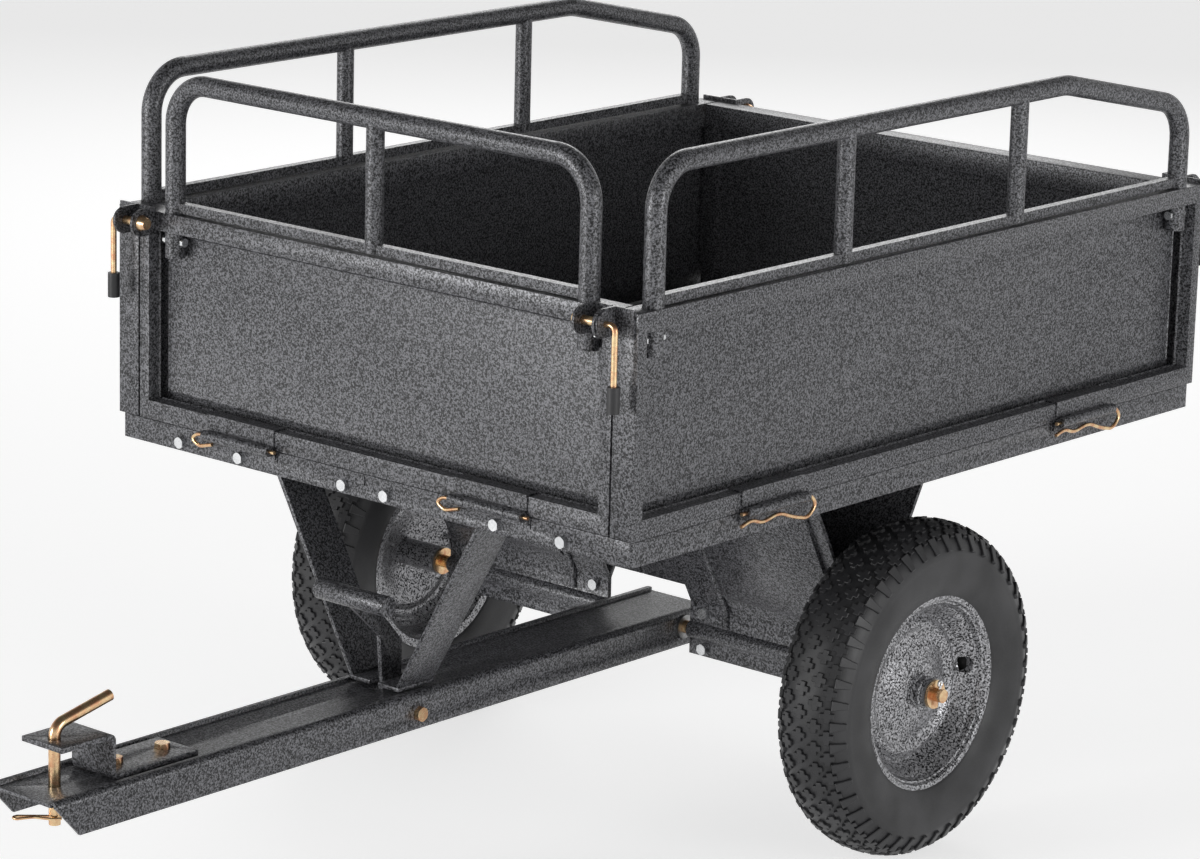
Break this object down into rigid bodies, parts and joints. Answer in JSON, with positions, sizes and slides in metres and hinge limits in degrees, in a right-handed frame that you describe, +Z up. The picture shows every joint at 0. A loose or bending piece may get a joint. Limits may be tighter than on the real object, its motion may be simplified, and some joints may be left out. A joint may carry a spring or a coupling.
{
  "type": "tow behind dump cart",
  "caption": "Two-wheeled dump cart with fold-down walls, tubular railings and a pivoting tongue with pin hitch.",
  "frame": {"origin": "ground level, midway along the whole cart and on its centre line", "axes": "+Z up, the tongue points towards -Y, +X to the right seen from behind the tongue's tip"},
  "size_m": [0.893, 1.615, 0.89],
  "materials": {
    "hammered_paint": "hammered gloss",
    "gold_zinc": "yellow zinc plate",
    "bright_zinc": "bright zinc plate",
    "plain_steel": "turned",
    "tyre_rubber": "moulded",
    "tube_rubber": "smooth",
    "grip_rubber": "smooth"
  },
  "bodies": {
    "tongue": {"tongue_channel": "hammered_paint", "hitch_plate": "hammered_paint", "hitch_bolts": "gold_zinc", "pedal_bolt": "gold_zinc", "pedal_spring": "bright_zinc", "tongue_bushes": "plain_steel"},
    "bed": {"floor_pan": "hammered_paint", "floor_ribs": "hammered_paint", "axle": "plain_steel", "axle_bracket_left": "hammered_paint", "axle_bracket_right": "hammered_paint", "strut_left": "hammered_paint", "strut_right": "hammered_paint", "strut_yoke": "hammered_paint", "bed_hinge_knuckles": "hammered_paint", "hinge_clips": "gold_zinc", "band_bolts": "bright_zinc", "bracket_bolts": "bright_zinc", "axle_washers": "gold_zinc", "cotter_pins": "bright_zinc"},
    "pedal": {"foot_pedal": "hammered_paint"},
    "hitch_pin_body": {"hitch_pin": "gold_zinc"},
    "hitch_clip_body": {"hitch_clip": "gold_zinc"},
    "wheel_left": {"tyre_left": "tyre_rubber", "inner_tube_left": "tube_rubber", "rim_left": "hammered_paint", "wheel_bushes_left": "plain_steel"},
    "wheel_right": {"tyre_right": "tyre_rubber", "inner_tube_right": "tube_rubber", "rim_right": "hammered_paint", "wheel_bushes_right": "plain_steel"},
    "front_wall": {"front_panel": "hammered_paint", "front_railing": "hammered_paint", "front_railing_bolts": "bright_zinc", "front_hinge_leaves": "hammered_paint", "front_latch_ears": "hammered_paint", "front_latch_bushes": "gold_zinc"},
    "left_wall": {"left_panel": "hammered_paint", "left_railing": "hammered_paint", "left_railing_bolts": "bright_zinc", "left_hinge_leaves": "hammered_paint", "left_latch_ears": "hammered_paint"},
    "right_wall": {"right_panel": "hammered_paint", "right_railing": "hammered_paint", "right_railing_bolts": "bright_zinc", "right_hinge_leaves": "hammered_paint", "right_latch_ears": "hammered_paint"},
    "tailgate": {"tailgate_panel": "hammered_paint", "tailgate_hinge_leaves": "hammered_paint", "tailgate_latch_ears": "hammered_paint", "tailgate_latch_bushes": "gold_zinc"},
    "latch_front_left": {"latch_pin_front_left": "gold_zinc", "latch_grip_front_left": "grip_rubber"},
    "latch_front_right": {"latch_pin_front_right": "gold_zinc", "latch_grip_front_right": "grip_rubber"},
    "latch_rear_left": {"latch_pin_rear_left": "gold_zinc", "latch_grip_rear_left": "grip_rubber"},
    "latch_rear_right": {"latch_pin_rear_right": "gold_zinc", "latch_grip_rear_right": "grip_rubber"}
  },
  "joints": [
    {"name": "dump_pivot", "type": "hinge", "parent": "tongue", "child": "bed", "pos_m": [0, 0.2175, 0.2], "axis": [-1, 0, 0], "range_deg": [0, 43]},
    {"name": "pedal_pivot", "type": "hinge", "parent": "tongue", "child": "pedal", "pos_m": [0, -0.2515, 0.194], "axis": [1, 0, 0], "range_deg": [0, 12], "stiffness_Nm_per_rad": 3, "springref_deg": -22.92},
    {"name": "hitch_pin_lift", "type": "slide", "parent": "tongue", "child": "hitch_pin_body", "axis": [0, 0, 1], "range_m": [0, 0.024]},
    {"name": "hitch_clip_pull", "type": "slide", "parent": "hitch_pin_body", "child": "hitch_clip_body", "axis": [-0.7071, -0.7071, 0], "range_m": [0, 0.02]},
    {"name": "wheel_spin_left", "type": "hinge", "parent": "bed", "child": "wheel_left", "pos_m": [0, 0.2175, 0.2], "axis": [1, 0, 0], "continuous": true},
    {"name": "wheel_spin_right", "type": "hinge", "parent": "bed", "child": "wheel_right", "pos_m": [0, 0.2175, 0.2], "axis": [1, 0, 0], "continuous": true},
    {"name": "front_wall_fold", "type": "hinge", "parent": "bed", "child": "front_wall", "pos_m": [0, -0.3005, 0.474], "axis": [1, 0, 0], "range_deg": [0, 90]},
    {"name": "tailgate_fold", "type": "hinge", "parent": "bed", "child": "tailgate", "pos_m": [0, 0.7775, 0.474], "axis": [-1, 0, 0], "range_deg": [0, 170]},
    {"name": "left_wall_fold", "type": "hinge", "parent": "bed", "child": "left_wall", "pos_m": [-0.408, 0, 0.474], "axis": [0, -1, 0], "range_deg": [0, 90]},
    {"name": "right_wall_fold", "type": "hinge", "parent": "bed", "child": "right_wall", "pos_m": [0.408, 0, 0.474], "axis": [0, 1, 0], "range_deg": [0, 90]},
    {"name": "latch_slide_front_left", "type": "slide", "parent": "left_wall", "child": "latch_front_left", "axis": [1, 0, 0], "range_m": [0, 0.006]},
    {"name": "latch_slide_front_right", "type": "slide", "parent": "right_wall", "child": "latch_front_right", "axis": [-1, 0, 0], "range_m": [0, 0.006]},
    {"name": "latch_slide_rear_left", "type": "slide", "parent": "left_wall", "child": "latch_rear_left", "axis": [1, 0, 0], "range_m": [0, 0.006]},
    {"name": "latch_slide_rear_right", "type": "slide", "parent": "right_wall", "child": "latch_rear_right", "axis": [-1, 0, 0], "range_m": [0, 0.006]}
  ]
}
